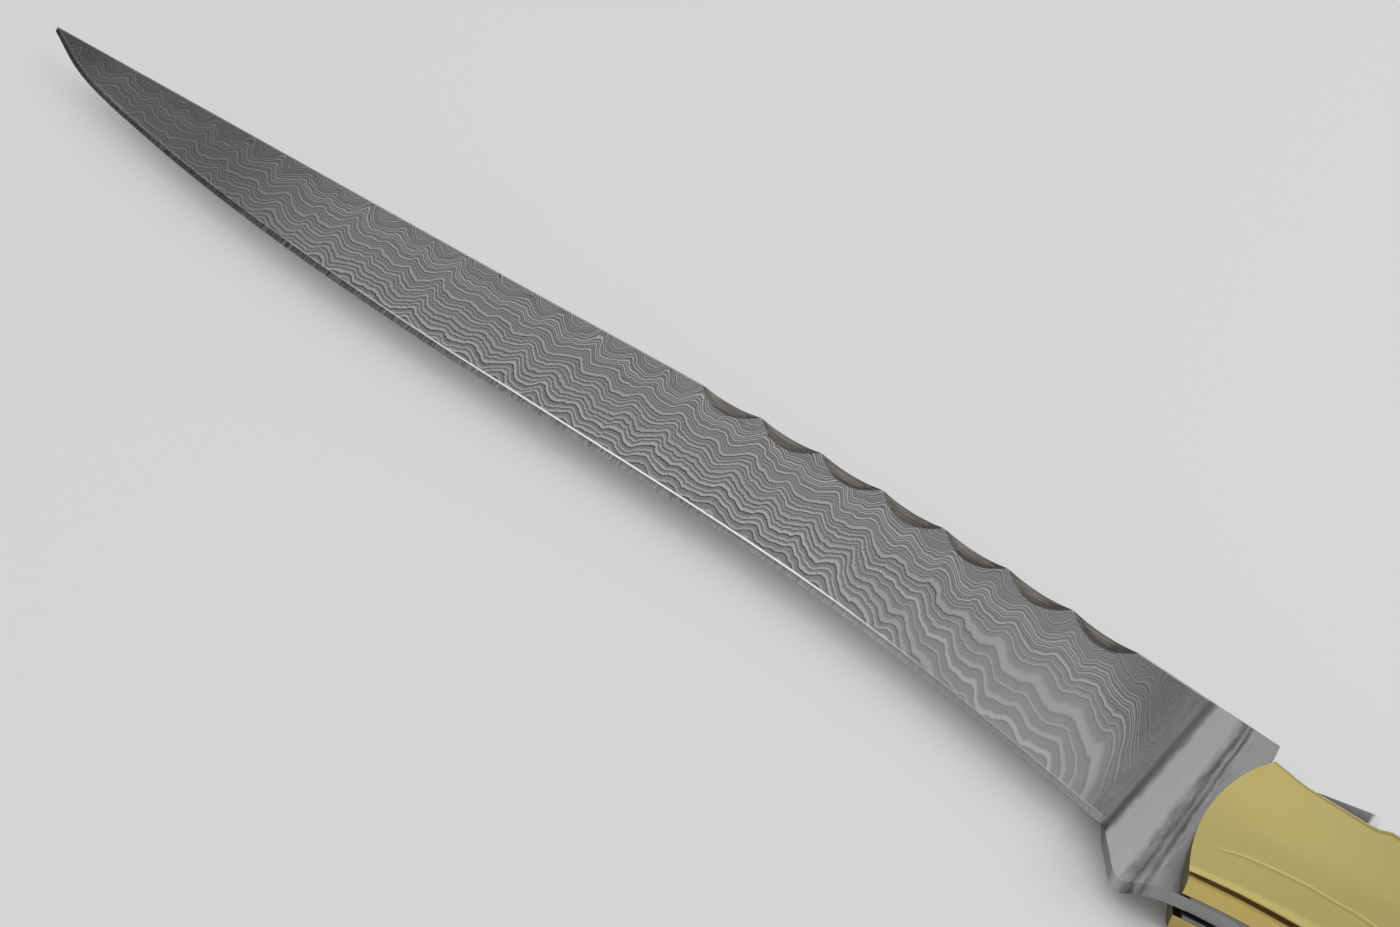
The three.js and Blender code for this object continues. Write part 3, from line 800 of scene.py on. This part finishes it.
class KNIFE_OT_lock(bpy.types.Operator):
    """Gives the spring, the liners, the pins and the lever their plain steel"""

    bl_idname = "knife.lock"
    bl_label = "Lock and liners"

    def execute(self, context):
        lock = context.scene.knife.lock
        lever = frame["nodes"]["lock_lever"]
        others = [piece for piece in nodes_with("plain_steel") if piece != lever]
        dress(others, plain_steel("plain_steel", lock, lock.dark, lock.light), lock.corner)
        # The lever takes a darker copy of the plain steel: painted shade together with a darker finish.
        dress([lever], plain_steel("lever_steel", lock, lock.lever_dark, lock.lever_light), lock.corner)
        return {"FINISHED"}


class KNIFE_OT_brass(bpy.types.Operator):
    """Gives the bolsters, washers and rivets their brass"""

    bl_idname = "knife.brass"
    bl_label = "Brass"

    def execute(self, context):
        brass = context.scene.knife.brass
        material = polished_brass(brass)
        bolsters = [frame["nodes"][name] for name in ("front_bolster_near", "front_bolster_far")]
        others = [piece for piece in nodes_with("brass") if piece not in bolsters]
        dress(bolsters, material, brass.bolster_corner)
        dress(others, material, brass.corner)
        return {"FINISHED"}


class KNIFE_OT_scales(bpy.types.Operator):
    """Gives the scales their hardwood"""

    bl_idname = "knife.scales"
    bl_label = "Scales"

    def execute(self, context):
        wood = context.scene.knife.wood
        dress(nodes_with("hardwood"), hardwood(wood), wood.corner)
        return {"FINISHED"}


def make_floor(stage):
    """A pale floor with light of its own, apart from where a piece is close above it."""
    half = stage.floor_size / 2
    corners = [(-half, -half, 0), (half, -half, 0), (half, half, 0), (-half, half, 0)]
    mesh = bpy.data.meshes.new("floor")
    mesh.from_pydata(corners, [], [(0, 1, 2, 3)])
    floor = bpy.data.objects.new("floor", mesh)
    bpy.context.scene.collection.objects.link(floor)
    material, place = new_material("floor")
    set_surface(material, {"Base Color": rgba(stage.floor), "Roughness": 0.9, "Specular IOR Level": 0.1})
    tree = material.node_tree
    light = place.node("ShaderNodeLightPath")
    seen = light + light.other("Is Glossy Ray") + light.other("Is Transmission Ray")
    near = {"Distance": stage.shade_reach}
    clear = place.node("ShaderNodeAmbientOcclusion", {"samples": 8}, near, out="AO")
    share = seen * (smooth(clear, 0.64, 0.84) * stage.glow_share)
    own = place.node("ShaderNodeEmission", {}, {"Color": rgba(stage.floor_glow), "Strength": 1.0})
    lit = Wire(tree, tree.nodes["Principled BSDF"].outputs[0])
    surface = place.node("ShaderNodeMixShader", {}, {0: share, 1: lit, 2: own})
    tree.links.new(surface.socket, tree.nodes["Material Output"].inputs["Surface"])
    mesh.materials.append(material)


def make_world(stage):
    """A pale dome, brightest overhead, with a narrow dark panel high up on the camera's side."""
    world = bpy.data.worlds.new("studio")
    world.use_nodes = True
    bpy.context.scene.world = world
    pen = Wire(world.node_tree)
    way = pen.node("ShaderNodeTexCoord", out="Generated")
    height = axes(way)[2]
    dome = ramp(height, [
        (0.0, (0.58, 0.57, 0.55)), (0.6, (0.5, 0.5, 0.49)), (0.72, (0.52, 0.52, 0.52)),
        (0.82, (0.68, 0.69, 0.69)), (0.9, (0.82, 0.83, 0.83)), (1.0, (1.0, 1.0, 1.0)),
    ])
    towards = Vector((stage.camera[0], stage.camera[1], 0)).normalized()
    beside = Vector((-towards.y, towards.x, 0))
    tall = smooth(height, 0.42, 0.54) * (1 - smooth(height, 0.88, 0.95))
    narrow = 1 - smooth(abs(along_way(way, beside)), 0.18, 0.32)
    shade = smooth(along_way(way, towards), 0.1, 0.3) * narrow * tall
    colour = mix_colour(shade, dome, rgba(stage.panel))
    background = world.node_tree.nodes["Background"]
    world.node_tree.links.new(colour.socket, background.inputs["Color"])
    background.inputs["Strength"].default_value = 1.0


def make_key(stage):
    """A square soft light on the spine's side, towards the butt."""
    lamp = bpy.data.lights.new("key", "AREA")
    lamp.shape = "SQUARE"
    lamp.size = stage.key_size
    lamp.energy = stage.key_power
    key = bpy.data.objects.new("key", lamp)
    bpy.context.scene.collection.objects.link(key)
    key.location = stage.key_place
    key.rotation_euler = (-key.location).to_track_quat("-Z", "Y").to_euler()


def make_camera(stage):
    """A camera that looks down on the blade and the bolsters from the edge's side."""
    data = bpy.data.cameras.new("camera")
    data.sensor_width = SENSOR_WIDTH
    data.lens = stage.lens
    data.clip_start = 0.01
    camera = bpy.data.objects.new("camera", data)
    bpy.context.scene.collection.objects.link(camera)
    turn = Matrix.Rotation(stage.heading, 4, "Z") @ Matrix.Rotation(math.pi / 2 - stage.look_down, 4, "X")
    camera.matrix_world = Matrix.Translation(stage.camera) @ turn
    bpy.context.scene.camera = camera


class KNIFE_OT_stage(bpy.types.Operator):
    """Sets the floor, the light and the camera"""

    bl_idname = "knife.stage"
    bl_label = "Stage"

    def execute(self, context):
        stage = context.scene.knife.stage
        context.scene.view_settings.view_transform = "Standard"
        make_floor(stage)
        make_world(stage)
        make_key(stage)
        make_camera(stage)
        return {"FINISHED"}


class KNIFE_PT_sidebar(bpy.types.Panel):
    """Lists the knife's settings and steps"""

    bl_idname = "KNIFE_PT_sidebar"
    bl_label = "Folding ham knife"
    bl_space_type = "VIEW_3D"
    bl_region_type = "UI"
    bl_category = "Knife"

    def draw(self, context):
        for step in STEPS:
            self.layout.operator(step.bl_idname)
        knife = context.scene.knife
        for group in (knife.steel, knife.lock, knife.brass, knife.wood, knife.stage):
            column = self.layout.column()
            for name in group.bl_rna.properties.keys():
                if name not in ("rna_type", "name"):
                    column.prop(group, name)


STEPS = (KNIFE_OT_blade, KNIFE_OT_lock, KNIFE_OT_brass, KNIFE_OT_scales, KNIFE_OT_stage)
GROUPS = (SteelSettings, LockSettings, BrassSettings, WoodSettings, StageSettings, KnifeSettings)
CLASSES = (*GROUPS, *STEPS, KNIFE_PT_sidebar)


def register():
    for each in CLASSES:
        bpy.utils.register_class(each)
    bpy.types.Scene.knife = PointerProperty(
        name="Knife", description="Settings of the folding ham knife", type=KnifeSettings,
    )


def unregister():
    del bpy.types.Scene.knife
    for each in reversed(CLASSES):
        bpy.utils.unregister_class(each)


def main():
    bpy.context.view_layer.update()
    register()
    bpy.ops.knife.blade()
    bpy.ops.knife.lock()
    bpy.ops.knife.brass()
    bpy.ops.knife.scales()
    bpy.ops.knife.stage()


if __name__ == "__main__":
    main()
